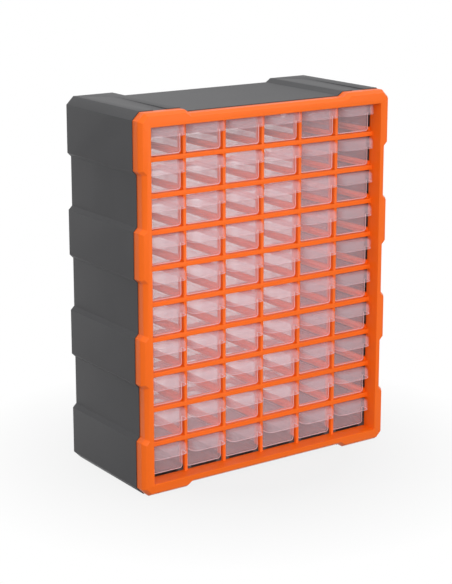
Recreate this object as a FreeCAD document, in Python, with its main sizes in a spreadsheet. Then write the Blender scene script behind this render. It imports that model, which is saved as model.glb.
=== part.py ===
import FreeCAD, Part
import os
import Sketcher

# A parts bin cabinet: a black housing, a notched orange front frame with a grid
# of rails and mullions, nine open racks, and sixty clear drawers in ten rows.
# Frame: X to the right, Y to the back, Z up, origin in the middle of the
# underside, halfway between the front of the frame and the back panel.

SIZES = [
    ("width", 380, "overall width"),
    ("depth", 172, "overall depth, front of the frame to the back panel"),
    ("height", 475, "overall height"),
    ("columns", 6, "drawers side by side"),
    ("rows", 10, "drawers one above another"),
    ("fit_play", 0.3, "play between parts that plug together"),
    ("overrun", 5, "how far a cut runs past the material"),
    # Outline that the housing and the front frame share
    ("corner", 10, "flat across each corner, along each side"),
    ("notch_depth", 5, "depth of the notches in all four sides"),
    ("end_band", 70.5, "height of the raised bands at the top and bottom"),
    ("mid_band", 58, "height of the two raised bands between them"),
    ("foot_width", 66.5, "width of each foot, from the side"),
    ("foot_run", 7.5, "sideways run of the foot's slope"),
    # Front frame
    ("frame_depth", 17.5, "how far the frame stands before the housing"),
    ("frame_step", 1, "frame's outline inside the housing's outline"),
    ("frame_wall", 2.5, "wall of the frame moulding"),
    ("bevel_side", 4, "bevel round the frame's face, across the face"),
    ("bevel_back", 6, "bevel round the frame's face, front to back"),
    ("border_side", 16, "border left and right of the recess"),
    ("border_top", 18, "border over the recess"),
    ("border_bottom", 16.5, "border under the recess"),
    ("recess_depth", 17, "front of the frame to the rails"),
    ("grid_depth", 5.5, "rails and mullions, front to back"),
    ("rail_height", 6, "height of a rail"),
    ("mullion_width", 4.2, "width of a mullion"),
    ("mullion_back", 1, "mullions behind the face of the rails"),
    ("tongue_depth", 6, "ledge behind each rail that carries a rack"),
    ("tongue_thick", 1.6, "thickness of that ledge"),
    ("spigot_depth", 4, "collar that plugs into the housing"),
    ("spigot_wall", 2, "wall of that collar"),
    # Housing
    ("shell_wall", 2.4, "wall of the housing"),
    ("ledge_thick", 2, "side ledges under the racks"),
    ("ledge_reach", 3, "how far a rack's edge lies on its ledge"),
    ("runner_width", 20, "runners under the bottom row of drawers"),
    ("runner_rise", 2.9, "top of the runners over the frame's lower wall"),
    ("groove_place", 150, "stacking grooves from the middle of the top"),
    ("groove_width", 20, "width of a stacking groove"),
    ("groove_drop", 1.5, "depth of a stacking groove at the front"),
    ("groove_stop", 32, "where a stacking groove runs out, from the back"),
    # Back panel, open behind all rows but the top one
    ("panel_thick", 2.4, "thickness of the back panel"),
    ("panel_border", 12, "back panel left beside its openings"),
    ("panel_ledge", 4, "ledges on the back panel's rails, under the racks"),
    ("keyhole_spread", 145, "keyholes from the middle of the panel"),
    ("keyhole_drop", 40, "keyhole's screw seat from the top"),
    ("keyhole_head", 5, "radius of the round opening of a keyhole"),
    ("keyhole_slot", 2.5, "half the width of a keyhole's slot"),
    ("keyhole_travel", 11, "screw seat over the middle of the opening"),
    # Open racks that serve as shelves
    ("shelf_thick", 2, "thickness of a rack's plate"),
    ("flange_half", 9, "plate left on each side of a guide's middle"),
    ("shelf_bar", 8, "plate left at the front and the rear of a rack"),
    ("guide_height", 5, "guides between the drawers at the front, over the plate"),
    ("guide_rear", 2, "height of a guide at its rear end"),
    # Drawers
    ("drawer_length", 140, "drawer without its lip, front to back"),
    ("drawer_side_play", 1.2, "drawer to mullion, each side"),
    ("drawer_rest_play", 0.4, "drawer over its rack"),
    ("drawer_top_play", 1, "drawer under the rail"),
    ("drawer_back", 5, "drawer's face behind the face of the rails"),
    ("drawer_wall", 1.3, "sides, floor and back of a drawer"),
    ("drawer_front", 1.6, "front wall of a drawer"),
    ("drawer_corner", 2.4, "flat across a drawer's lower corners, along each side"),
    ("lip_reach", 16, "handle lip before the drawer's face"),
    ("lip_height", 13, "height of the handle lip"),
    ("lip_wall", 1.5, "wall of the handle lip"),
    ("lip_corner", 7, "flat across the handle lip's two front corners, along each side"),
    ("lip_flat", 4, "flat along the top of the handle lip's front, along each side"),
    ("stop_height", 2.4, "stop lugs over the drawer's walls"),
    ("stop_run", 10, "length of a stop lug's ramp"),
    ("stop_place", 24, "catching face of the stop lugs from the back"),
]

document = FreeCAD.newDocument("parts_bin_cabinet")
sheet = document.addObject("Spreadsheet::Sheet", "Sizes")
for line, (alias, value, meaning) in enumerate(SIZES, 1):
    sheet.set("A%d" % line, alias)
    sheet.set("B%d" % line, str(value))
    sheet.set("C%d" % line, meaning)
    sheet.setAlias("B%d" % line, alias)
document.recompute()

# Sizes that follow from the sheet, as expressions
COLUMN_PITCH = "((Sizes.width - 2 * Sizes.border_side) / Sizes.columns)"
RECESS_TOP = "(Sizes.height - Sizes.border_top)"
ROW_PITCH = (
    "((Sizes.height - Sizes.border_top - Sizes.border_bottom - Sizes.runner_rise"
    " + Sizes.rail_height) / Sizes.rows)"
)
RECESS_WIDTH = "(Sizes.width - 2 * Sizes.border_side)"
HOUSING_FRONT = "(Sizes.frame_depth - Sizes.depth / 2)"
RAIL_FACE = "(Sizes.recess_depth - Sizes.frame_depth)"
GRID_REAR = "(Sizes.recess_depth + Sizes.grid_depth - Sizes.frame_depth)"
HOUSING_DEPTH = "(Sizes.depth - Sizes.frame_depth)"
PANEL_SEAT = "(Sizes.depth - Sizes.frame_depth - Sizes.panel_thick)"
SHELF_HALF = "(Sizes.width / 2 - Sizes.notch_depth - Sizes.shell_wall - Sizes.fit_play)"
SHELF_LENGTH = "(%s - Sizes.fit_play - %s)" % (PANEL_SEAT, GRID_REAR)
RUNNER_TOP = "(Sizes.border_bottom + Sizes.runner_rise)"
DRAWER_WIDTH = "(%s - Sizes.mullion_width - 2 * Sizes.drawer_side_play)" % COLUMN_PITCH
DRAWER_HEIGHT = (
    "(%s - Sizes.rail_height - Sizes.drawer_rest_play - Sizes.drawer_top_play)" % ROW_PITCH
)


def number(expression):
    """The present value of an expression on the sheet."""
    value = sheet.evalExpression(expression)
    return float(getattr(value, "Value", value))


def rail_top(row):
    """Height of the top of the rail under a row, rows counted from the top."""
    return "(%s - %s * %s + Sizes.rail_height)" % (RECESS_TOP, row, ROW_PITCH)


def outline(inset):
    """Corners of the notched outline, moved in by inset, as pairs of expressions."""
    bend = "(%s) * tan(22.5 deg)" % inset
    foot_bend = "(%s) * tan(atan(Sizes.notch_depth / Sizes.foot_run) / 2)" % inset
    gap = "(Sizes.height - 2 * Sizes.end_band - 2 * Sizes.mid_band) / 6"
    side = "Sizes.width / 2 - (%s)" % inset
    deep = side + " - Sizes.notch_depth"
    top = "Sizes.height / 2 - (%s)" % inset
    foot = "Sizes.width / 2 - Sizes.foot_width"
    end = "Sizes.height / 2 - Sizes.end_band"
    quarter = [
        (foot + " - Sizes.foot_run + " + foot_bend, top + " - Sizes.notch_depth"),
        (foot + " + " + foot_bend, top),
        ("Sizes.width / 2 - Sizes.corner - " + bend, top),
        (side, "Sizes.height / 2 - Sizes.corner - " + bend),
        (side, end + " + " + bend),
        (deep, end + " - Sizes.notch_depth + " + bend),
        (deep, gap + " + Sizes.mid_band + Sizes.notch_depth - " + bend),
        (side, gap + " + Sizes.mid_band - " + bend),
        (side, gap + " + " + bend),
        (deep, gap + " - Sizes.notch_depth + " + bend),
    ]
    middle = "Sizes.height / 2"
    upper = [(x, "%s + %s" % (middle, z)) for x, z in quarter]
    lower = [(x, "%s - (%s)" % (middle, z)) for x, z in reversed(quarter)]
    right = upper + lower
    left = [("-(%s)" % x, z) for x, z in reversed(right)]
    return right + left


def rectangle(left, bottom, right, top):
    """Corners of a rectangle as pairs of expressions."""
    return [(left, bottom), (right, bottom), (right, top), (left, top)]


def new_body(label):
    """An empty body."""
    body = document.addObject("PartDesign::Body", label)
    body.Label = label
    return body


def new_sketch(body, role, name, place=None):
    """A sketch on an origin plane, moved along the plane's normal by place."""
    sketch = body.newObject("Sketcher::SketchObject", name)
    plane = [item for item in body.Origin.OriginFeatures if item.Role == role][0]
    sketch.AttachmentSupport = [(plane, "")]
    sketch.MapMode = "FlatFace"
    if place is not None:
        sketch.setExpression("AttachmentOffset.Base.z", place)
    return sketch


def draw_loop(sketch, corners):
    """A closed loop of straight lines whose corners follow their expressions."""
    points = [FreeCAD.Vector(number(x), number(y), 0) for x, y in corners]
    first = len(sketch.Geometry)
    count = len(points)
    sketch.addGeometry([Part.LineSegment(points[i], points[(i + 1) % count]) for i in range(count)])
    for i in range(count):
        following = first + (i + 1) % count
        sketch.addConstraint(Sketcher.Constraint("Coincident", first + i, 2, following, 1))
    for i, (x, y) in enumerate(corners):
        for kind, expression, value in (("DistanceX", x, points[i].x), ("DistanceY", y, points[i].y)):
            constraint = Sketcher.Constraint(kind, -1, 1, first + i, 1, value)
            index = sketch.addConstraint(constraint)
            sketch.setExpression("Constraints[%d]" % index, expression)


def draw_circle(sketch, x, y, radius):
    """A circle whose centre and radius follow their expressions."""
    centre = FreeCAD.Vector(number(x), number(y), 0)
    circle = sketch.addGeometry(Part.Circle(centre, FreeCAD.Vector(0, 0, 1), number(radius)))
    for kind, expression, value in (("DistanceX", x, centre.x), ("DistanceY", y, centre.y)):
        index = sketch.addConstraint(Sketcher.Constraint(kind, -1, 1, circle, 3, value))
        sketch.setExpression("Constraints[%d]" % index, expression)
    index = sketch.addConstraint(Sketcher.Constraint("Radius", circle, number(radius)))
    sketch.setExpression("Constraints[%d]" % index, radius)


def pad(body, sketch, name, length, backward=False, both=False):
    """Material along the sketch's normal, against it, or half each way."""
    feature = body.newObject("PartDesign::Pad", name)
    feature.Profile = sketch
    feature.setExpression("Length", length)
    feature.Reversed = backward
    feature.Midplane = both
    return feature


def pocket(body, sketch, name, length, along=False, both=False):
    """A cut against the sketch's normal, along it, or half each way."""
    feature = body.newObject("PartDesign::Pocket", name)
    feature.Profile = sketch
    feature.setExpression("Length", length)
    feature.Reversed = along
    feature.Midplane = both
    return feature


def repeat(body, feature, name, role, length, count):
    """Evenly spaced copies of a feature along an origin axis."""
    pattern = body.newObject("PartDesign::LinearPattern", name)
    pattern.Originals = [feature]
    axis = [item for item in body.Origin.OriginFeatures if item.Role == role][0]
    pattern.Direction = (axis, [""])
    pattern.setExpression("Length", length)
    pattern.setExpression("Occurrences", count)
    body.Tip = pattern
    return pattern


def mirror(body, features, name):
    """The same features on the other side of the middle plane."""
    mirrored = body.newObject("PartDesign::Mirrored", name)
    mirrored.Originals = features
    plane = [item for item in body.Origin.OriginFeatures if item.Role == "YZ_Plane"][0]
    mirrored.MirrorPlane = (plane, [""])
    body.Tip = mirrored
    return mirrored


def edges_where(shape, test):
    """Names of the straight edges whose two ends both pass the test."""
    names = []
    for index, edge in enumerate(shape.Edges, 1):
        if len(edge.Vertexes) == 2 and all(test(vertex.Point) for vertex in edge.Vertexes):
            names.append("Edge%d" % index)
    return names


def flatten_edges(body, base, name, test, size):
    """Cut a flat along the edges of the last feature that pass the test."""
    document.recompute()
    chamfer = body.newObject("PartDesign::Chamfer", name)
    chamfer.Base = (base, edges_where(base.Shape, test))
    chamfer.setExpression("Size", size)
    return chamfer


def near(value, expression):
    """Whether a coordinate is the value of an expression."""
    return abs(value - number(expression)) < number("Sizes.fit_play") / 100


def place(item, x="0", y="0", z="0"):
    """Put an object where its expressions say."""
    item.setExpression("Placement.Base.x", x)
    item.setExpression("Placement.Base.y", y)
    item.setExpression("Placement.Base.z", z)


def make_front_frame():
    """The orange frame: a hollow bevelled border round a grid of sixty openings."""
    body = new_body("front_frame")

    outer = new_sketch(body, "XZ_Plane", "frame_outline")
    draw_loop(outer, outline("Sizes.frame_step"))
    pad(body, outer, "frame_block", "Sizes.frame_depth - Sizes.bevel_back")

    bevel_start = "Sizes.frame_depth - Sizes.bevel_back"
    bevel_base = new_sketch(body, "XZ_Plane", "bevel_base", bevel_start)
    draw_loop(bevel_base, outline("Sizes.frame_step"))
    bevel_face = new_sketch(body, "XZ_Plane", "bevel_face", "Sizes.frame_depth")
    draw_loop(bevel_face, outline("Sizes.frame_step + Sizes.bevel_side"))
    bevel = body.newObject("PartDesign::AdditiveLoft", "bevel")
    bevel.Profile = bevel_base
    bevel.Sections = [bevel_face]
    bevel.Ruled = True

    half = RECESS_WIDTH + " / 2"
    opening = new_sketch(body, "XZ_Plane", "recess_outline")
    draw_loop(opening, rectangle("-" + half, "Sizes.border_bottom", half, RECESS_TOP))
    pocket(body, opening, "recess", "4 * Sizes.frame_depth", both=True)

    outside = RECESS_WIDTH + " / 2 + Sizes.frame_wall"
    below = "Sizes.border_bottom - Sizes.frame_wall"
    above = RECESS_TOP + " + Sizes.frame_wall"
    hollow = new_sketch(body, "XZ_Plane", "hollow_outline")
    draw_loop(hollow, outline("Sizes.frame_step + Sizes.frame_wall"))
    draw_loop(hollow, rectangle("-(%s)" % outside, below, outside, above))
    pocket(body, hollow, "hollow", "Sizes.frame_depth - Sizes.frame_wall", along=True)

    inner_wall = new_sketch(body, "XZ_Plane", "inner_wall_outline")
    draw_loop(inner_wall, rectangle("-(%s)" % outside, below, outside, above))
    draw_loop(inner_wall, rectangle("-" + half, "Sizes.border_bottom", half, RECESS_TOP))
    pad(body, inner_wall, "inner_wall", GRID_REAR, backward=True)

    collar = new_sketch(body, "XZ_Plane", "collar_outline", "Sizes.frame_wall")
    draw_loop(collar, outline("Sizes.shell_wall + Sizes.fit_play"))
    draw_loop(collar, outline("Sizes.shell_wall + Sizes.fit_play + Sizes.spigot_wall"))
    pad(body, collar, "collar", "Sizes.frame_wall + Sizes.spigot_depth", backward=True)

    upright = new_sketch(body, "XZ_Plane", "mullion_outline", "-(%s + Sizes.mullion_back)" % RAIL_FACE)
    middle = "(1 - Sizes.columns / 2) * " + COLUMN_PITCH
    left = middle + " - Sizes.mullion_width / 2"
    right = middle + " + Sizes.mullion_width / 2"
    draw_loop(upright, rectangle(left, below, right, above))
    mullion = pad(body, upright, "mullion", "Sizes.grid_depth - Sizes.mullion_back", backward=True)
    span = COLUMN_PITCH + " * (Sizes.columns - 2)"
    repeat(body, mullion, "mullions", "X_Axis", span, "Sizes.columns - 1")

    # Rail and the tongue behind it, for the lowest rack
    top = rail_top("(Sizes.rows - 1)")
    bottom = top + " - Sizes.rail_height"
    seat = top + " - Sizes.shelf_thick"
    tongue_end = GRID_REAR + " + Sizes.tongue_depth"
    section = new_sketch(body, "YZ_Plane", "rail_section")
    draw_loop(section, [
        (RAIL_FACE, bottom),
        (GRID_REAR, bottom),
        (GRID_REAR, seat + " - Sizes.tongue_thick"),
        (tongue_end, seat + " - Sizes.tongue_thick"),
        (tongue_end, seat),
        (GRID_REAR, seat),
        (GRID_REAR, top),
        (RAIL_FACE, top),
    ])
    rail = pad(body, section, "rail", "2 * (%s)" % outside, both=True)
    repeat(body, rail, "rails", "Z_Axis", ROW_PITCH + " * (Sizes.rows - 2)", "Sizes.rows - 1")

    place(body, y=HOUSING_FRONT)
    return body


def make_shell():
    """The housing's wall: the notched outline as an open tube, grooved on top."""
    body = new_body("shell")
    outer = new_sketch(body, "XZ_Plane", "shell_outline")
    draw_loop(outer, outline("0"))
    pad(body, outer, "shell_block", HOUSING_DEPTH, backward=True)

    inner = new_sketch(body, "XZ_Plane", "shell_inside")
    draw_loop(inner, outline("Sizes.shell_wall"))
    pocket(body, inner, "inside", "3 * " + HOUSING_DEPTH, both=True)

    side = "Sizes.groove_place - Sizes.groove_width / 2"
    groove_end = HOUSING_DEPTH + " - Sizes.groove_stop"
    over = "Sizes.height + Sizes.overrun"
    profile = new_sketch(body, "YZ_Plane", "groove_section", side)
    draw_loop(profile, [
        ("-Sizes.overrun", "Sizes.height - Sizes.groove_drop"),
        ("0", "Sizes.height - Sizes.groove_drop"),
        (groove_end, "Sizes.height"),
        (groove_end, over),
        ("-Sizes.overrun", over),
    ])
    groove = pocket(body, profile, "stacking_groove", "Sizes.groove_width", along=True)
    mirror(body, [groove], "stacking_grooves")
    return body


def make_box(name, x, y, z, length, width, height):
    """A box with its low corner and sizes bound to expressions."""
    box = document.addObject("Part::Box", name)
    place(box, x, y, z)
    box.setExpression("Length", length)
    box.setExpression("Width", width)
    box.setExpression("Height", height)
    return box


def make_housing():
    """The black housing: its shell, the side ledges and the bottom runners."""
    shell = make_shell()

    # Everything inside the shell is trimmed to the middle of its wall
    trim = new_body("trim")
    bound = new_sketch(trim, "XZ_Plane", "trim_outline")
    draw_loop(bound, outline("Sizes.shell_wall / 2"))
    pad(trim, bound, "trim_block", HOUSING_DEPTH, backward=True)

    run = "%s - %s" % (PANEL_SEAT, GRID_REAR)
    decks = []
    for row in range(1, int(number("Sizes.rows"))):
        underside = "%s - Sizes.shelf_thick - Sizes.ledge_thick" % rail_top(row)
        deck = make_box("ledge_deck_%d" % row, "-Sizes.width / 2", GRID_REAR, underside,
                        "Sizes.width", run, "Sizes.ledge_thick")
        decks.append(deck)
    stack = document.addObject("Part::MultiFuse", "ledge_stack")
    stack.Shapes = decks
    clear = "(%s - Sizes.ledge_reach)" % SHELF_HALF
    middle = make_box("between_ledges", "-" + clear, GRID_REAR, "0",
                      "2 * " + clear, run, "Sizes.height")
    ledges = document.addObject("Part::Cut", "ledges")
    ledges.Base = stack
    ledges.Tool = middle

    inside = [ledges]
    for index in range(int(number("Sizes.columns")) + 1):
        line = "(%d - Sizes.columns / 2) * %s" % (index, COLUMN_PITCH)
        base = make_box("runner_%d" % index, line + " - Sizes.runner_width / 2", GRID_REAR, "0",
                        "Sizes.runner_width", run, RUNNER_TOP)
        guide = make_box("runner_guide_%d" % index, line + " - Sizes.mullion_width / 2", GRID_REAR,
                         "0", "Sizes.mullion_width", run, RUNNER_TOP + " + Sizes.guide_height")
        inside += [base, guide]
    fittings = document.addObject("Part::MultiFuse", "fittings")
    fittings.Shapes = inside
    trimmed = document.addObject("Part::MultiCommon", "trimmed_fittings")
    trimmed.Shapes = [fittings, trim]

    housing = document.addObject("Part::MultiFuse", "housing_shell")
    housing.Shapes = [shell, trimmed]
    housing.Label = "housing_shell"
    place(housing, y=HOUSING_FRONT)
    return housing


def make_back_panel():
    """The back panel: a rail behind each rack, openings between, and two keyholes."""
    body = new_body("back_panel")
    outer = new_sketch(body, "XZ_Plane", "panel_outline")
    draw_loop(outer, outline("Sizes.shell_wall + Sizes.fit_play"))
    pad(body, outer, "panel", "Sizes.panel_thick", backward=True)

    # Openings behind every row but the top one, the lowest first
    open_half = "(%s - Sizes.panel_border)" % SHELF_HALF
    window = new_sketch(body, "XZ_Plane", "window_outline")
    draw_loop(window, rectangle(
        "-" + open_half, RUNNER_TOP, open_half,
        "%s + %s - Sizes.rail_height" % (RUNNER_TOP, ROW_PITCH)))
    opening = pocket(body, window, "window", "4 * Sizes.panel_thick", both=True)
    rise = ROW_PITCH + " * (Sizes.rows - 2)"
    repeat(body, opening, "windows", "Z_Axis", rise, "Sizes.rows - 1")

    # Ledges that carry the rear of the racks, the lowest first
    under = rail_top("(Sizes.rows - 1)") + " - Sizes.shelf_thick"
    section = new_sketch(body, "YZ_Plane", "ledge_section")
    draw_loop(section, rectangle(
        "-Sizes.panel_ledge", under + " - Sizes.tongue_thick", "Sizes.panel_thick / 2", under))
    ledge = pad(body, section, "ledge", "2 * " + open_half, both=True)
    repeat(body, ledge, "ledges", "Z_Axis", rise, "Sizes.rows - 1")

    seat = "Sizes.height - Sizes.keyhole_drop"
    entry = seat + " - Sizes.keyhole_travel"
    x = "Sizes.keyhole_spread"
    head = new_sketch(body, "XZ_Plane", "keyhole_entry")
    draw_circle(head, x, entry, "Sizes.keyhole_head")
    entry_cut = pocket(body, head, "keyhole_round", "4 * Sizes.panel_thick", both=True)
    slot = new_sketch(body, "XZ_Plane", "keyhole_slot")
    draw_loop(slot, rectangle(x + " - Sizes.keyhole_slot", entry, x + " + Sizes.keyhole_slot", seat))
    slot_cut = pocket(body, slot, "keyhole_straight", "4 * Sizes.panel_thick", both=True)
    end = new_sketch(body, "XZ_Plane", "keyhole_seat")
    draw_circle(end, x, seat, "Sizes.keyhole_slot")
    end_cut = pocket(body, end, "keyhole_end", "4 * Sizes.panel_thick", both=True)
    mirror(body, [entry_cut, slot_cut, end_cut], "keyholes")

    place(body, y="Sizes.depth / 2 - Sizes.panel_thick")
    return body


def make_shelf():
    """One rack: a plate with an opening under every drawer and seven guides."""
    body = new_body("shelf")
    plate = new_sketch(body, "XY_Plane", "plate_outline")
    draw_loop(plate, rectangle("-" + SHELF_HALF, "0", SHELF_HALF, SHELF_LENGTH))
    pad(body, plate, "plate", "Sizes.shelf_thick", backward=True)

    line = "-Sizes.columns / 2 * " + COLUMN_PITCH
    window = new_sketch(body, "XY_Plane", "window_outline")
    draw_loop(window, rectangle(
        line + " + Sizes.flange_half", "Sizes.shelf_bar",
        line + " + %s - Sizes.flange_half" % COLUMN_PITCH, SHELF_LENGTH + " - Sizes.shelf_bar"))
    opening = pocket(body, window, "window", "4 * Sizes.shelf_thick", both=True)
    repeat(body, opening, "windows", "X_Axis", COLUMN_PITCH + " * (Sizes.columns - 1)",
           "Sizes.columns")

    # Guide, which falls from the mullion to the rear
    section = new_sketch(body, "YZ_Plane", "guide_section", line)
    draw_loop(section, [
        ("0", "-Sizes.shelf_thick / 2"),
        (SHELF_LENGTH, "-Sizes.shelf_thick / 2"),
        (SHELF_LENGTH, "Sizes.guide_rear"),
        ("0", "Sizes.guide_height"),
    ])
    guide = pad(body, section, "guide", "Sizes.mullion_width", both=True)
    repeat(body, guide, "guides", "X_Axis", COLUMN_PITCH + " * Sizes.columns", "Sizes.columns + 1")
    return body


def make_drawer():
    """One clear drawer: an open box with a hooded handle lip and two stop lugs."""
    body = new_body("drawer")
    half = DRAWER_WIDTH + " / 2"

    face = new_sketch(body, "XZ_Plane", "drawer_outline")
    draw_loop(face, [
        ("-" + half, DRAWER_HEIGHT),
        ("-" + half, "Sizes.drawer_corner"),
        ("-(%s - Sizes.drawer_corner)" % half, "0"),
        (half + " - Sizes.drawer_corner", "0"),
        (half, "Sizes.drawer_corner"),
        (half, DRAWER_HEIGHT),
    ])
    pad(body, face, "drawer_block", "Sizes.drawer_length", backward=True)

    # The cavity's own bevels keep the wall's thickness across the lower corners
    inner_half = "%s - Sizes.drawer_wall" % half
    inner_bevel = "(Sizes.drawer_corner - Sizes.drawer_wall * (2 - sqrt(2)))"
    brim = DRAWER_HEIGHT + " + Sizes.overrun"
    cavity = new_sketch(body, "XZ_Plane", "cavity_outline", "-Sizes.drawer_front")
    draw_loop(cavity, [
        ("-(%s)" % inner_half, brim),
        ("-(%s)" % inner_half, "Sizes.drawer_wall + " + inner_bevel),
        ("-(%s - %s)" % (inner_half, inner_bevel), "Sizes.drawer_wall"),
        ("%s - %s" % (inner_half, inner_bevel), "Sizes.drawer_wall"),
        (inner_half, "Sizes.drawer_wall + " + inner_bevel),
        (inner_half, brim),
    ])
    inside_length = "Sizes.drawer_length - Sizes.drawer_front - Sizes.drawer_wall"
    pocket(body, cavity, "cavity", inside_length)

    # Handle lip, a hood open below, with flats across its front corners
    hem = DRAWER_HEIGHT + " - Sizes.lip_height"
    bend = "(Sizes.lip_reach - Sizes.lip_corner)"
    plan = new_sketch(body, "XY_Plane", "lip_plan", hem)
    draw_loop(plan, [
        ("-" + half, "Sizes.drawer_front / 2"),
        ("-" + half, "-" + bend),
        ("Sizes.lip_corner - " + half, "-Sizes.lip_reach"),
        (half + " - Sizes.lip_corner", "-Sizes.lip_reach"),
        (half, "-" + bend),
        (half, "Sizes.drawer_front / 2"),
    ])
    pad(body, plan, "lip", "Sizes.lip_height")

    hood_half = "(%s - Sizes.lip_wall)" % half
    hood_reach = "(Sizes.lip_reach - Sizes.lip_wall)"
    hood_corner = "(Sizes.lip_corner - Sizes.lip_wall * (2 - sqrt(2)))"
    hood = new_sketch(body, "XY_Plane", "hood_plan", hem)
    draw_loop(hood, [
        ("-" + hood_half, "0"),
        ("-" + hood_half, "%s - %s" % (hood_corner, hood_reach)),
        ("%s - %s" % (hood_corner, hood_half), "-" + hood_reach),
        ("%s - %s" % (hood_half, hood_corner), "-" + hood_reach),
        (hood_half, "%s - %s" % (hood_corner, hood_reach)),
        (hood_half, "0"),
    ])
    hollow = pocket(body, hood, "hood", "Sizes.lip_height - Sizes.lip_wall", along=True)

    def hood_top(point):
        return near(point.y, "-" + hood_reach) and near(point.z, DRAWER_HEIGHT + " - Sizes.lip_wall")

    def lip_top(point):
        return near(point.y, "-Sizes.lip_reach") and near(point.z, DRAWER_HEIGHT)

    inner_flat = flatten_edges(body, hollow, "hood_front", hood_top,
                               "Sizes.lip_flat - Sizes.lip_wall * (2 - sqrt(2))")
    flatten_edges(body, inner_flat, "lip_front", lip_top, "Sizes.lip_flat")

    catch = "Sizes.drawer_length - Sizes.stop_place"
    lug_section = new_sketch(body, "YZ_Plane", "stop_section", inner_half)
    draw_loop(lug_section, [
        (catch, DRAWER_HEIGHT + " - Sizes.drawer_wall"),
        (catch + " + Sizes.stop_run", DRAWER_HEIGHT + " - Sizes.drawer_wall"),
        (catch + " + Sizes.stop_run", DRAWER_HEIGHT),
        (catch, DRAWER_HEIGHT + " + Sizes.stop_height"),
    ])
    lug = pad(body, lug_section, "stop_lug", "Sizes.drawer_wall")
    mirror(body, [lug], "stop_lugs")
    return body


def copy_of(source, name):
    """A placed copy that keeps following its source."""
    copy = document.addObject("Part::Compound", name)
    copy.Links = [source]
    copy.Label = name
    return copy


def group_of(members, name):
    """Separate solids kept together under one name."""
    group = document.addObject("Part::Compound", name)
    group.Links = members
    group.Label = name
    return group


def make_shelves():
    """Nine racks, each on its rail's tongue and its side ledges."""
    shelf = make_shelf()
    copies = []
    for row in range(1, int(number("Sizes.rows"))):
        copy = copy_of(shelf, "shelf_%d" % row)
        place(copy, y="%s + %s" % (HOUSING_FRONT, GRID_REAR), z=rail_top(row))
        copies.append(copy)
    return group_of(copies, "shelves")


def make_drawers():
    """A drawer in every opening; the bottom row's drawers share one name."""
    drawer = make_drawer()
    columns = int(number("Sizes.columns"))
    rows = int(number("Sizes.rows"))
    face = "%s + %s + Sizes.drawer_back" % (HOUSING_FRONT, RAIL_FACE)
    drawers = []
    bottom_row = []
    for row in range(1, rows + 1):
        for column in range(1, columns + 1):
            copy = copy_of(drawer, "drawer_row%d_col%d" % (row, column))
            x = "(%d - (Sizes.columns + 1) / 2) * %s" % (column, COLUMN_PITCH)
            place(copy, x, face, rail_top(row) + " + Sizes.drawer_rest_play")
            if row < rows:
                drawers.append(copy)
            else:
                bottom_row.append(copy)
    drawers.append(group_of(bottom_row, "drawers_row%d" % rows))
    return drawers


subparts = [make_front_frame(), make_housing(), make_back_panel(), make_shelves()]
subparts += make_drawers()
document.recompute()

for item in document.Objects:
    if "Invalid" in item.State or "Error" in item.State:
        raise RuntimeError("%s did not build: %s" % (item.Label, item.State))
for subpart in subparts:
    if subpart.Shape.isNull() or not subpart.Shape.isValid():
        raise RuntimeError("%s has no valid shape" % subpart.Label)

os.makedirs("parts", exist_ok=True)
for subpart in subparts:
    subpart.Shape.exportStep("parts/%s.step" % subpart.Label)
print("sub-parts written: %d" % len(subparts))
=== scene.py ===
"""Parts bin cabinet: the finish of its frame and housing, and its sixty clear drawers."""

import math

import bmesh
import bpy
from mathutils import Matrix, Vector


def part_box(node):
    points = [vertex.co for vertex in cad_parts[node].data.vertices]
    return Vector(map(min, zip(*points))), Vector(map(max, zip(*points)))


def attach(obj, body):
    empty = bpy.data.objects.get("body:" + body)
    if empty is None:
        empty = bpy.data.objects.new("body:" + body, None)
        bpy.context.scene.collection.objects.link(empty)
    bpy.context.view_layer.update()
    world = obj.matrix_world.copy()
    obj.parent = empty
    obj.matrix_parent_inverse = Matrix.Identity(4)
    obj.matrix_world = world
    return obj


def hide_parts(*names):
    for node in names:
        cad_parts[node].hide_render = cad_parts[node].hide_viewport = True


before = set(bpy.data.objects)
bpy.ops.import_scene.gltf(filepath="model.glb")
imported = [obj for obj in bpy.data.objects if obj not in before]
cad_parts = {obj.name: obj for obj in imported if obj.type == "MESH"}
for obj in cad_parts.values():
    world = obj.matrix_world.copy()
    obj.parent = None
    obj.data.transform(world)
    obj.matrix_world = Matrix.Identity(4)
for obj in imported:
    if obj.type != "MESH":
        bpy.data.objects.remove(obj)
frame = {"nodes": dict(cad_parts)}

bl_info = {
    "name": "Parts Bin Cabinet",
    "version": (1, 0, 0),
    "blender": (4, 5, 0),
    "location": "View3D > Sidebar > Bin Cabinet",
    "description": "Dresses a parts bin cabinet with its moulded finishes and clear drawers",
    "category": "Object",
}

MM = 0.001
CABINET = "cabinet"
BOTTOM_ROW = "drawers_row10"
COLUMNS = 6
ROWS = 10
FIRST_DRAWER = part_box("drawer_row1_col1")
DRAWER_WIDTH = FIRST_DRAWER[1].x - FIRST_DRAWER[0].x
COLUMN_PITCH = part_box("drawer_row1_col2")[0].x - FIRST_DRAWER[0].x
ROW_PITCH = FIRST_DRAWER[0].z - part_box("drawer_row2_col1")[0].z

# Steps of a round, and the angle past which an edge of a drawer or web stays sharp
ARC_STEPS = 6
LIP_STEPS = 5
SHARP_ANGLE = math.radians(35)

# Cleaning and rounding of copied CAD pieces
MERGE_GAP = 0.001 * MM
FLAT_ANGLE = math.radians(0.5)
ROUND_ANGLE = math.radians(20)

# Attribute of the clear faces that paints a highlight on their edges by making them more opaque,
# and its share on thin edges and on the border of a face
PAINTED_EDGE_HIGHLIGHT = "painted_edge_highlight"
THIN_EDGE_HIGHLIGHT = 1.0
FACE_BORDER_HIGHLIGHT = 0.6

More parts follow.
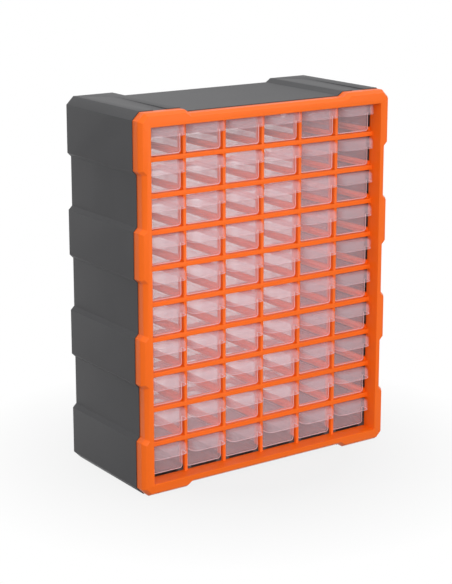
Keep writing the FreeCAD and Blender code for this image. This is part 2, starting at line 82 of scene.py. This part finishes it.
# Studio, and how many clear walls a line of sight may pass
MAX_CLEAR_WALLS = 48
SENSOR_WIDTH = 36
CABINET_MIDDLE = (0, 0, 0.24)
SOFTBOXES = (
    # Name, place, width in metres, watts
    ("key_softbox", (-1.1, -1.75, 1.0), 1.0, 18.5),
    ("fill_softbox", (0.6, -2.1, 0.6), 1.4, 10),
    ("top_softbox", (0, 0.3, 2.3), 1.6, 9),
)


def length(name, description, default):
    """A length that a user can set, in metres."""
    return bpy.props.FloatProperty(
        name=name, description=description, default=default, unit="LENGTH")


class EdgeSizes(bpy.types.PropertyGroup):
    """Widths of the rounds on the moulded edges."""

    frame: length("Frame", "Edges of the front frame", 0.5 * MM)
    racks: length("Racks", "Edges of the racks", 0.3 * MM)
    housing: length("Housing", "Edges of the housing", 0.5 * MM)
    back_panel: length("Back Panel", "Edges of the back panel", 0.4 * MM)


class DrawerSizes(bpy.types.PropertyGroup):
    """Sizes of a clear drawer, as in the CAD solid, with the rounds that the solid leaves plain."""

    wall: length("Wall", "Thickness of the sides, floor and back", 1.3 * MM)
    front: length("Front", "Thickness of the front wall", 1.6 * MM)
    corner: length("Corner", "Radius along the two lower corners", 4 * MM)
    lip_reach: length("Lip Reach", "How far the handle lip stands before the front", 16 * MM)
    lip_height: length("Lip Height", "Height of the handle lip", 13 * MM)
    lip_wall: length("Lip Wall", "Thickness of the handle lip", 1.5 * MM)
    lip_corner: length("Lip Corner", "Radius of the lip's two corners seen from above", 8 * MM)
    lip_round: length("Lip Round", "Radius along the top of the lip's front", 6 * MM)
    lip_end_round: length("Lip End Round", "Radius along the top of the lip's ends", 2 * MM)
    stop_height: length("Stop Height", "Height of the stop lugs over the walls", 2.4 * MM)
    stop_run: length("Stop Run", "Length of a stop lug", 10 * MM)
    stop_place: length("Stop Place", "Catching face of the lugs from the back", 24 * MM)


class WebSizes(bpy.types.PropertyGroup):
    """Sizes of the webs that stiffen the mullions from behind, which the CAD solid leaves out."""

    width: length("Width", "Width of a web, as of its mullion", 4.2 * MM)
    depth: length("Depth", "Depth of a web behind its mullion", 10 * MM)
    face_gap: length("Face Gap", "Rear of the mullions behind the drawers' faces", 0.5 * MM)
    foot: length("Foot", "Lower end of a web over the underside of its drawers", 4.6 * MM)
    head: length("Head", "Upper end of a web over the underside of its drawers", 40.2 * MM)


class FinishColours(bpy.types.PropertyGroup):
    """Colours of the three plastics, as sRGB hex."""

    orange: bpy.props.StringProperty(
        name="Orange", description="Front frame and racks", default="FF6E0C")
    black: bpy.props.StringProperty(
        name="Black", description="Housing and back panel", default="414143")
    clear: bpy.props.StringProperty(
        name="Clear", description="Tint of the clear drawers", default="FFE1E8")


class StageSizes(bpy.types.PropertyGroup):
    """Camera and floor of the studio."""

    eye: bpy.props.FloatVectorProperty(
        name="Eye", description="Where the camera stands", default=(-1.158, -1.6569, 0.7546),
        subtype="TRANSLATION", unit="LENGTH")
    turn: bpy.props.FloatProperty(
        name="Turn", description="Camera's turn from straight on towards the right",
        default=math.radians(34.75), subtype="ANGLE")
    tilt: bpy.props.FloatProperty(
        name="Tilt", description="Camera's tilt downwards", default=math.radians(12.88),
        subtype="ANGLE")
    lens: bpy.props.FloatProperty(
        name="Lens", description="Focal length on a 36 mm sensor, in millimetres", default=99.35)
    rise: bpy.props.FloatProperty(
        name="Rise", description="Vertical shift of the lens", default=-0.1)
    floor_width: length("Floor", "Width of the pale floor", 12.0)


def srgb(code):
    """Linear colour with full alpha of an sRGB hex code."""
    channels = [int(code[i:i + 2], 16) / 255 for i in (0, 2, 4)]
    linear = [c / 12.92 if c <= 0.04045 else ((c + 0.055) / 1.055) ** 2.4 for c in channels]
    return (*linear, 1.0)


def per_metre(millimetres):
    """Texture scale whose features are that many millimetres across."""
    return 1000 / millimetres


def add_node(tree, kind, given=None, **settings):
    """Adds a node, sets its attributes or inputs by name, and links or sets the inputs given."""
    node = tree.nodes.new(kind)
    for name, value in settings.items():
        if hasattr(node, name):
            setattr(node, name, value)
        else:
            node.inputs[name.replace("_", " ")].default_value = value
    for key, source in (given or {}).items():
        if isinstance(source, bpy.types.NodeSocket):
            tree.links.new(source, node.inputs[key])
        else:
            node.inputs[key].default_value = source
    return node


def new_material(name):
    """An empty node material and its tree."""
    material = bpy.data.materials.new(name)
    material.use_nodes = True
    material.node_tree.nodes.clear()
    return material, material.node_tree


def orange_high_impact_polystyrene():
    """High-impact polystyrene moulded in polished steel: an even satin gloss with faint flow."""
    colours = bpy.context.scene.bin_cabinet_colours
    material, tree = new_material("orange_high_impact_polystyrene")
    place = add_node(tree, "ShaderNodeTexCoord").outputs["Object"]
    flow = add_node(tree, "ShaderNodeTexNoise", {"Vector": place}, Scale=per_metre(90), Detail=3.0)
    tone = add_node(tree, "ShaderNodeMapRange", {"Value": flow.outputs["Fac"]},
                    To_Min=0.94, To_Max=1.05)
    colour = add_node(tree, "ShaderNodeHueSaturation", {"Value": tone.outputs["Result"]},
                      Color=srgb(colours.orange))
    # Skin of the moulding, drawn a little coarser than the real one so that it shows
    skin = add_node(tree, "ShaderNodeTexNoise", {"Vector": place}, Scale=per_metre(1.6), Detail=2.0)
    bump = add_node(tree, "ShaderNodeBump", {"Height": skin.outputs["Fac"]},
                    Strength=0.25, Distance=0.05 * MM)
    gloss = add_node(tree, "ShaderNodeMapRange", {"Value": skin.outputs["Fac"]},
                     To_Min=0.36, To_Max=0.46)
    shader = add_node(tree, "ShaderNodeBsdfPrincipled",
                      {"Base Color": colour.outputs["Color"], "Roughness": gloss.outputs["Result"],
                       "Normal": bump.outputs["Normal"]}, IOR=1.55, Specular_IOR_Level=0.3)
    add_node(tree, "ShaderNodeOutputMaterial", {"Surface": shader.outputs["BSDF"]})
    return material


def grained_black_polystyrene():
    """Black polystyrene moulded in an eroded steel: a dry, even grain that greys the highlights."""
    colours = bpy.context.scene.bin_cabinet_colours
    material, tree = new_material("grained_black_polystyrene")
    place = add_node(tree, "ShaderNodeTexCoord").outputs["Object"]
    cloud = add_node(tree, "ShaderNodeTexNoise", {"Vector": place}, Scale=per_metre(70), Detail=4.0)
    tone = add_node(tree, "ShaderNodeMapRange", {"Value": cloud.outputs["Fac"]},
                    To_Min=0.88, To_Max=1.12)
    colour = add_node(tree, "ShaderNodeHueSaturation", {"Value": tone.outputs["Result"]},
                      Color=srgb(colours.black))
    grain = add_node(tree, "ShaderNodeTexNoise", {"Vector": place}, Scale=per_metre(0.9),
                     Detail=3.0, Roughness=0.6)
    bump = add_node(tree, "ShaderNodeBump", {"Height": grain.outputs["Fac"]},
                    Strength=0.4, Distance=0.08 * MM)
    gloss = add_node(tree, "ShaderNodeMapRange", {"Value": grain.outputs["Fac"]},
                     To_Min=0.5, To_Max=0.66)
    shader = add_node(tree, "ShaderNodeBsdfPrincipled",
                      {"Base Color": colour.outputs["Color"], "Roughness": gloss.outputs["Result"],
                       "Normal": bump.outputs["Normal"]}, IOR=1.55, Specular_IOR_Level=0.4)
    add_node(tree, "ShaderNodeOutputMaterial", {"Surface": shader.outputs["BSDF"]})
    return material


def clear_polystyrene():
    """General-purpose polystyrene: clear, glossy, a little milky, with a painted highlight on its
    thin edges and face borders, which are made more opaque.
    """
    colours = bpy.context.scene.bin_cabinet_colours
    material, tree = new_material("clear_polystyrene")
    place = add_node(tree, "ShaderNodeTexCoord").outputs["Object"]
    edge = add_node(tree, "ShaderNodeAttribute", attribute_name=PAINTED_EDGE_HIGHLIGHT)
    flow = add_node(tree, "ShaderNodeTexNoise", {"Vector": place}, Scale=per_metre(35), Detail=2.0)
    haze = add_node(tree, "ShaderNodeMapRange", {"Value": flow.outputs["Fac"]},
                    To_Min=0.1, To_Max=0.14)
    facing = add_node(tree, "ShaderNodeLayerWeight", Blend=0.3)
    rim = add_node(tree, "ShaderNodeMath",
                   {0: facing.outputs["Facing"], 1: 0.1, 2: haze.outputs["Result"]},
                   operation="MULTIPLY_ADD")
    # Painted highlight: the edge attribute makes thin edges and face borders more opaque, so they
    # show pale and bright
    alpha = add_node(tree, "ShaderNodeMath",
                     {0: edge.outputs["Fac"], 1: 0.75, 2: rim.outputs["Value"]},
                     operation="MULTIPLY_ADD", use_clamp=True)
    shader = add_node(tree, "ShaderNodeBsdfPrincipled", {"Alpha": alpha.outputs["Value"]},
                      Base_Color=srgb(colours.clear), Roughness=0.16, IOR=1.59)
    # Light from the lamps reaches what is behind the clear walls
    path = add_node(tree, "ShaderNodeLightPath")
    through = add_node(tree, "ShaderNodeBsdfTransparent")
    passed = add_node(tree, "ShaderNodeMixShader",
                      {0: path.outputs["Is Shadow Ray"], 1: shader.outputs["BSDF"],
                       2: through.outputs["BSDF"]})
    add_node(tree, "ShaderNodeOutputMaterial", {"Surface": passed.outputs["Shader"]})
    return material


def finish_of(make):
    """The material that a function makes and is named for, made once."""
    return bpy.data.materials.get(make.__name__) or make()


def softened_copy(node, name, width, make):
    """A merged copy of a CAD node with its moulded edges rounded, which rides with the cabinet."""
    mesh = frame["nodes"][node].data.copy()
    shape = bmesh.new()
    shape.from_mesh(mesh)
    bmesh.ops.remove_doubles(shape, verts=shape.verts, dist=MERGE_GAP)
    bmesh.ops.dissolve_limit(shape, angle_limit=FLAT_ANGLE, verts=shape.verts, edges=shape.edges)
    shape.to_mesh(mesh)
    shape.free()
    mesh.name = name
    mesh.materials.clear()
    mesh.materials.append(finish_of(make))
    piece = bpy.data.objects.new(name, mesh)
    bpy.context.scene.collection.objects.link(piece)
    bevel = piece.modifiers.new("moulded edges", "BEVEL")
    bevel.width = width
    bevel.segments = 2
    bevel.limit_method = "ANGLE"
    bevel.angle_limit = ROUND_ANGLE
    bevel.harden_normals = True
    mesh.shade_smooth()
    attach(piece, CABINET)
    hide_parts(node)
    return piece


def arc(centre, radius, start, end):
    """Points on an arc in a plane, angles in degrees, both ends included."""
    turns = [start + (end - start) * step / ARC_STEPS for step in range(ARC_STEPS + 1)]
    return [(centre[0] + radius * math.cos(math.radians(turn)),
             centre[1] + radius * math.sin(math.radians(turn))) for turn in turns]


def closed_mesh(name, shape):
    """A mesh of a closed shape, faces outwards, smooth but for its sharp edges."""
    bmesh.ops.recalc_face_normals(shape, faces=shape.faces)
    mesh = bpy.data.meshes.new(name)
    shape.to_mesh(mesh)
    shape.free()
    mesh.shade_smooth()
    mesh.set_sharp_from_angle(angle=SHARP_ANGLE)
    return mesh


def box_section(half, floor, top, radius):
    """A drawer's section across its width, from one brim down and up to the other."""
    left = arc((-half + radius, floor + radius), radius, 180, 270)
    right = arc((half - radius, floor + radius), radius, 270, 360)
    return [(-half, top)] + left + right + [(half, top)]


def lip_plan(half, reach, corner, side, front):
    """The lip seen from above, from its left root to its right, drawn in at sides and front."""
    x, y = half - side - corner, front + corner - reach
    left = arc((-x, y), corner, 180, 270)
    right = arc((x, y), corner, 270, 360)
    return [(-half, 0)] + left + right + [(half, 0)]


def lip_levels(sizes, top, wall):
    """Heights of the lip's rings, top to hem, each with its draw in at the sides and front."""
    radius = sizes.lip_round - wall
    end_radius = max(sizes.lip_end_round - wall, 0)
    rise = top - wall - radius
    levels = []
    for step in range(LIP_STEPS + 1):
        angle = math.radians(90 - 90 / LIP_STEPS * step)
        height = rise + radius * math.sin(angle)
        over = max(height - (top - wall - end_radius), 0)
        side = end_radius - math.sqrt(max(end_radius ** 2 - over ** 2, 0))
        levels.append((height, side, radius - radius * math.cos(angle)))
    return levels + [(top - sizes.lip_height, 0, 0)]


def drawer_mesh():
    """One drawer, its face on the XZ plane and its underside at height zero."""
    sizes = bpy.context.scene.bin_cabinet_drawer
    low, high = FIRST_DRAWER
    half = DRAWER_WIDTH / 2
    rear_y = high.y - low.y - sizes.lip_reach
    top = high.z - low.z - sizes.stop_height
    shape = bmesh.new()
    # Each face's share of the painted edge highlight
    light = shape.faces.layers.float.new(PAINTED_EDGE_HIGHLIGHT)

    def ring(points, y):
        return [shape.verts.new((x, y, z)) for x, z in points]

    # Strips of faces, with their share of the painted edge highlight
    def strips(first, second, painted_highlight=0.0):
        for i in range(len(first) - 1):
            face = shape.faces.new((first[i], first[i + 1], second[i + 1], second[i]))
            face[light] = painted_highlight

    def lip_rings(wall):
        """Rings of the lip's outside or, drawn in by its wall, of its inside."""
        rings = []
        for height, side, front in lip_levels(sizes, top, wall):
            plan = lip_plan(half - wall, sizes.lip_reach - wall, sizes.lip_corner - wall,
                            side, front)
            rings.append([shape.verts.new((x, y, height)) for x, y in plan])
        return rings

    # Lip: outside, inside and the hem between them
    outside, inside = lip_rings(0), lip_rings(sizes.lip_wall)
    for rings in (outside, inside):
        for upper, lower in zip(rings, rings[1:]):
            strips(upper, lower)
        shape.faces.new(rings[0])
    # The hem carries the full painted edge highlight
    strips(outside[-1], inside[-1], THIN_EDGE_HIGHLIGHT)

    # Box: the face goes round the lip's root, and its border stands before the walls' edges
    section = box_section(half, 0, top, sizes.corner)
    face_left = [level[0] for level in outside]
    face_right = [level[-1] for level in outside]
    hollow_left = [level[0] for level in reversed(inside)]
    hollow_right = [level[-1] for level in inside]
    foot = ring(section[1:-1], 0)
    rear = ring(section, rear_y)
    inner = box_section(half - sizes.wall, sizes.wall, top, sizes.corner - sizes.wall)
    window = [hollow_left[0]] + ring(inner[1:-1], 0) + [hollow_right[-1]]
    # The face's border carries part of the painted edge highlight
    strips([face_left[-1]] + foot + [face_right[-1]], window, FACE_BORDER_HIGHLIGHT)
    shape.faces.new(hollow_left[1:] + hollow_right + list(reversed(window[:-1])))
    strips(foot, rear[1:-1])
    shape.faces.new(face_left + [foot[0], rear[1], rear[0]])
    shape.faces.new(face_right + [foot[-1], rear[-2], rear[-1]])
    shape.faces.new(rear)

    # Cavity and brim
    cavity_face = ring(inner, sizes.front)
    cavity_rear = ring(inner, rear_y - sizes.wall)
    strips(cavity_rear, cavity_face)
    shape.faces.new(cavity_face)
    shape.faces.new(cavity_rear)
    brim = [face_left[0], rear[0], rear[-1], face_right[0], face_left[0]]
    mouth = [cavity_face[0], cavity_rear[0], cavity_rear[-1], cavity_face[-1], cavity_face[0]]
    # The brim carries the full painted edge highlight
    strips(brim, mouth, THIN_EDGE_HIGHLIGHT)

    # Stop lugs on the side walls
    catch = rear_y - sizes.stop_place
    for side in (-1, 1):
        wall = [side * half, side * (half - sizes.wall)]
        outline = [(catch, top), (catch, top + sizes.stop_height), (catch + sizes.stop_run, top)]
        near, far = [[shape.verts.new((x, y, z)) for y, z in outline] for x in wall]
        # The lugs carry the full painted edge highlight
        strips(near + near[:1], far + far[:1], THIN_EDGE_HIGHLIGHT)
        shape.faces.new(near)
        shape.faces.new(far)
    return closed_mesh("drawer", shape)


def web_mesh():
    """One web with a rounded rear edge, its front in the middle of the XZ plane."""
    sizes = bpy.context.scene.bin_cabinet_web
    half = sizes.width / 2
    plan = [(-half, 0)] + arc((0, sizes.depth - half), half, 180, 0) + [(half, 0)]
    shape = bmesh.new()
    low, high = [[shape.verts.new((x, y, z)) for x, y in plan] for z in (sizes.foot, sizes.head)]
    for i in range(len(plan)):
        following = (i + 1) % len(plan)
        shape.faces.new((low[i], low[following], high[following], high[i]))
    shape.faces.new(low)
    shape.faces.new(high)
    return closed_mesh("web", shape)


def grid_tree():
    """Geometry Nodes tree: a grid of like pieces in columns and rows, as one mesh."""
    tree = bpy.data.node_groups.new("grid_of_pieces", "GeometryNodeTree")
    sockets = tree.interface
    for name, kind in (("Geometry", "Geometry"), ("Columns", "Int"), ("Rows", "Int"),
                       ("Column Pitch", "Float"), ("Row Pitch", "Float"),
                       ("First Place", "Vector"), ("Material", "Material")):
        sockets.new_socket(name, in_out="INPUT", socket_type="NodeSocket" + kind)
    sockets.new_socket("Geometry", in_out="OUTPUT", socket_type="NodeSocketGeometry")
    given = add_node(tree, "NodeGroupInput").outputs
    across = add_node(tree, "ShaderNodeCombineXYZ", {"X": given["Column Pitch"]})
    down = add_node(tree, "ShaderNodeCombineXYZ", {"Z": given["Row Pitch"]})
    row = add_node(tree, "GeometryNodeMeshLine",
                   {"Count": given["Columns"], "Start Location": given["First Place"],
                    "Offset": across.outputs["Vector"]}, mode="OFFSET")
    column = add_node(tree, "GeometryNodeMeshLine",
                      {"Count": given["Rows"], "Offset": down.outputs["Vector"]}, mode="OFFSET")
    rows = add_node(tree, "GeometryNodeInstanceOnPoints",
                    {"Points": column.outputs["Mesh"], "Instance": row.outputs["Mesh"]})
    places = add_node(tree, "GeometryNodeRealizeInstances", {"Geometry": rows.outputs["Instances"]})
    copies = add_node(tree, "GeometryNodeInstanceOnPoints",
                      {"Points": places.outputs["Geometry"], "Instance": given["Geometry"]})
    whole = add_node(tree, "GeometryNodeRealizeInstances",
                     {"Geometry": copies.outputs["Instances"]})
    dressed = add_node(tree, "GeometryNodeSetMaterial",
                       {"Geometry": whole.outputs["Geometry"], "Material": given["Material"]})
    add_node(tree, "NodeGroupOutput", {"Geometry": dressed.outputs["Geometry"]})
    return tree


def grid_piece(name, mesh, tree, columns, rows, first, make):
    """A plain mesh of like pieces in columns and rows, the first of them at a place."""
    piece = bpy.data.objects.new(name, mesh.copy())
    bpy.context.scene.collection.objects.link(piece)
    modifier = piece.modifiers.new("grid", "NODES")
    modifier.node_group = tree
    values = {"Columns": columns, "Rows": rows, "Column Pitch": COLUMN_PITCH,
              "Row Pitch": -ROW_PITCH, "First Place": first, "Material": finish_of(make)}
    for item in tree.interface.items_tree:
        if item.in_out == "INPUT" and item.name in values:
            modifier[item.identifier] = values[item.name]
    graph = bpy.context.evaluated_depsgraph_get()
    made = bpy.data.meshes.new_from_object(piece.evaluated_get(graph), depsgraph=graph)
    piece.modifiers.remove(modifier)
    piece.data = made
    made.name = name
    return piece


class BIN_CABINET_OT_front_frame(bpy.types.Operator):
    """Make the orange front frame with its rounded edges"""

    bl_idname = "bin_cabinet.front_frame"
    bl_label = "Front Frame"

    def execute(self, context):
        piece = softened_copy("front_frame", "orange_frame", context.scene.bin_cabinet_edges.frame,
                              orange_high_impact_polystyrene)
        return {"FINISHED"}


class BIN_CABINET_OT_racks(bpy.types.Operator):
    """Make the orange racks that carry the drawers"""

    bl_idname = "bin_cabinet.racks"
    bl_label = "Racks"

    def execute(self, context):
        piece = softened_copy("shelves", "orange_racks", context.scene.bin_cabinet_edges.racks,
                              orange_high_impact_polystyrene)
        return {"FINISHED"}


class BIN_CABINET_OT_webs(bpy.types.Operator):
    """Make the orange webs behind the mullions"""

    bl_idname = "bin_cabinet.webs"
    bl_label = "Webs"

    def execute(self, context):
        sizes = context.scene.bin_cabinet_web
        low, high = FIRST_DRAWER
        face = low.y + context.scene.bin_cabinet_drawer.lip_reach
        first = ((low.x + high.x + COLUMN_PITCH) / 2, face + sizes.face_gap, low.z)
        piece = grid_piece("orange_webs", web_mesh(), grid_tree(), COLUMNS - 1, ROWS, first,
                           orange_high_impact_polystyrene)
        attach(piece, CABINET)
        return {"FINISHED"}


class BIN_CABINET_OT_housing(bpy.types.Operator):
    """Make the grained black housing with its rounded edges"""

    bl_idname = "bin_cabinet.housing"
    bl_label = "Housing"

    def execute(self, context):
        piece = softened_copy("housing_shell", "black_housing",
                              context.scene.bin_cabinet_edges.housing, grained_black_polystyrene)
        return {"FINISHED"}


class BIN_CABINET_OT_back_panel(bpy.types.Operator):
    """Make the grained black back panel"""

    bl_idname = "bin_cabinet.back_panel"
    bl_label = "Back Panel"

    def execute(self, context):
        piece = softened_copy("back_panel", "black_back_panel",
                              context.scene.bin_cabinet_edges.back_panel, grained_black_polystyrene)
        return {"FINISHED"}


class BIN_CABINET_OT_drawers(bpy.types.Operator):
    """Make the sixty clear drawers, one mesh for each body"""

    bl_idname = "bin_cabinet.drawers"
    bl_label = "Drawers"

    def execute(self, context):
        mesh = drawer_mesh()
        tree = grid_tree()
        reach = context.scene.bin_cabinet_drawer.lip_reach
        for node in sorted(frame["nodes"]):
            if node.startswith("drawer"):
                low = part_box(node)[0]
                first = (low.x + DRAWER_WIDTH / 2, low.y + reach, low.z)
                columns = COLUMNS if node == BOTTOM_ROW else 1
                piece = grid_piece("clear_" + node, mesh, tree, columns, 1, first,
                                   clear_polystyrene)
                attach(piece, node)
                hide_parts(node)
        return {"FINISHED"}


def seen_by_eye(tree):
    """One for rays that look at the background straight, mirrored or through glass, else zero."""
    path = add_node(tree, "ShaderNodeLightPath").outputs
    seen = add_node(tree, "ShaderNodeMath",
                    {0: path["Is Camera Ray"], 1: path["Is Glossy Ray"]}, operation="MAXIMUM")
    return add_node(tree, "ShaderNodeMath",
                    {0: seen.outputs["Value"], 1: path["Is Transmission Ray"]},
                    operation="MAXIMUM").outputs["Value"]


def floor_finish():
    """Matt pale paper that keeps the cabinet's soft shadow and is white to the eye beyond."""
    material, tree = new_material("pale_studio_paper")
    place = add_node(tree, "ShaderNodeTexCoord").outputs["Object"]
    fibre = add_node(tree, "ShaderNodeTexNoise", {"Vector": place}, Scale=per_metre(40), Detail=4.0)
    tone = add_node(tree, "ShaderNodeMapRange", {"Value": fibre.outputs["Fac"]},
                    To_Min=0.98, To_Max=1.0)
    colour = add_node(tree, "ShaderNodeHueSaturation", {"Value": tone.outputs["Result"]},
                      Color=srgb("858585"))
    lit = add_node(tree, "ShaderNodeBsdfDiffuse", {"Color": colour.outputs["Color"]})
    away = add_node(tree, "ShaderNodeVectorMath", {0: place}, operation="LENGTH")
    share = add_node(tree, "ShaderNodeMapRange", {"Value": away.outputs["Value"]},
                     From_Min=0.15, From_Max=0.38, To_Min=0.85, To_Max=1.0)
    share = add_node(tree, "ShaderNodeMath",
                     {0: share.outputs["Result"], 1: seen_by_eye(tree)}, operation="MULTIPLY")
    white = add_node(tree, "ShaderNodeEmission", Strength=1.0)
    mixed = add_node(tree, "ShaderNodeMixShader",
                     {0: share.outputs["Value"], 1: lit.outputs["BSDF"],
                      2: white.outputs["Emission"]})
    add_node(tree, "ShaderNodeOutputMaterial", {"Surface": mixed.outputs["Shader"]})
    return material


def studio_world():
    """A surround that lights the object softly, through the open back too, white to the eye."""
    world = bpy.data.worlds.new("studio")
    bpy.context.scene.world = world
    world.use_nodes = True
    tree = world.node_tree
    tree.nodes.clear()
    strength = add_node(tree, "ShaderNodeMapRange", {"Value": seen_by_eye(tree)},
                        To_Min=0.6, To_Max=1.0)
    light = add_node(tree, "ShaderNodeBackground", {"Strength": strength.outputs["Result"]},
                     Color=(1.0, 1.0, 1.0, 1.0))
    add_node(tree, "ShaderNodeOutputWorld", {"Surface": light.outputs["Background"]})


def aim(spot, target):
    """Matrix of a lamp that stands at a spot and looks at a target."""
    turn = (Vector(target) - Vector(spot)).to_track_quat("-Z", "Y")
    return Matrix.LocRotScale(Vector(spot), turn, None)


def add_softbox(name, spot, width, power):
    """A square area lamp that looks at the middle of the cabinet."""
    lamp = bpy.data.lights.new(name, "AREA")
    lamp.size = width
    lamp.energy = power
    item = bpy.data.objects.new(name, lamp)
    item.matrix_world = aim(spot, CABINET_MIDDLE)
    bpy.context.scene.collection.objects.link(item)


def add_camera():
    """The camera at the photograph's viewing angle."""
    sizes = bpy.context.scene.bin_cabinet_stage
    data = bpy.data.cameras.new("camera")
    data.lens = sizes.lens
    data.sensor_width = SENSOR_WIDTH
    data.shift_y = sizes.rise
    camera = bpy.data.objects.new("camera", data)
    turn = Matrix.Rotation(-sizes.turn, 4, "Z") @ Matrix.Rotation(math.pi / 2 - sizes.tilt, 4, "X")
    camera.matrix_world = Matrix.Translation(Vector(sizes.eye)) @ turn
    bpy.context.scene.collection.objects.link(camera)
    bpy.context.scene.camera = camera


class BIN_CABINET_OT_stage(bpy.types.Operator):
    """Make the floor, the studio light and the camera"""

    bl_idname = "bin_cabinet.stage"
    bl_label = "Stage"

    def execute(self, context):
        sizes = context.scene.bin_cabinet_stage
        shape = bmesh.new()
        bmesh.ops.create_grid(shape, x_segments=4, y_segments=4, size=sizes.floor_width / 2)
        mesh = bpy.data.meshes.new("floor")
        shape.to_mesh(mesh)
        shape.free()
        mesh.materials.append(floor_finish())
        floor = bpy.data.objects.new("floor", mesh)
        context.scene.collection.objects.link(floor)
        studio_world()
        for softbox in SOFTBOXES:
            add_softbox(*softbox)
        add_camera()
        context.scene.cycles.transparent_max_bounces = MAX_CLEAR_WALLS
        context.scene.view_settings.view_transform = "Standard"
        return {"FINISHED"}


class BIN_CABINET_PT_sidebar(bpy.types.Panel):
    """Lists the pieces of the cabinet"""

    bl_idname = "BIN_CABINET_PT_sidebar"
    bl_label = "Bin Cabinet"
    bl_space_type = "VIEW_3D"
    bl_region_type = "UI"
    bl_category = "Bin Cabinet"

    def draw(self, context):
        for operator in OPERATORS:
            self.layout.operator(operator.bl_idname)


SETTINGS = {
    "bin_cabinet_edges": EdgeSizes,
    "bin_cabinet_drawer": DrawerSizes,
    "bin_cabinet_web": WebSizes,
    "bin_cabinet_colours": FinishColours,
    "bin_cabinet_stage": StageSizes,
}
OPERATORS = (
    BIN_CABINET_OT_front_frame,
    BIN_CABINET_OT_racks,
    BIN_CABINET_OT_webs,
    BIN_CABINET_OT_housing,
    BIN_CABINET_OT_back_panel,
    BIN_CABINET_OT_drawers,
    BIN_CABINET_OT_stage,
)


def register():
    for name, group in SETTINGS.items():
        bpy.utils.register_class(group)
        setattr(bpy.types.Scene, name, bpy.props.PointerProperty(type=group))
    for item in (*OPERATORS, BIN_CABINET_PT_sidebar):
        bpy.utils.register_class(item)


def unregister():
    for item in reversed((*OPERATORS, BIN_CABINET_PT_sidebar)):
        bpy.utils.unregister_class(item)
    for name, group in SETTINGS.items():
        delattr(bpy.types.Scene, name)
        bpy.utils.unregister_class(group)


def main():
    """Make every piece in order."""
    register()
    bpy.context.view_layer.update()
    for operator in OPERATORS:
        family, name = operator.bl_idname.split(".")
        getattr(getattr(bpy.ops, family), name)()


if __name__ == "__main__":
    main()
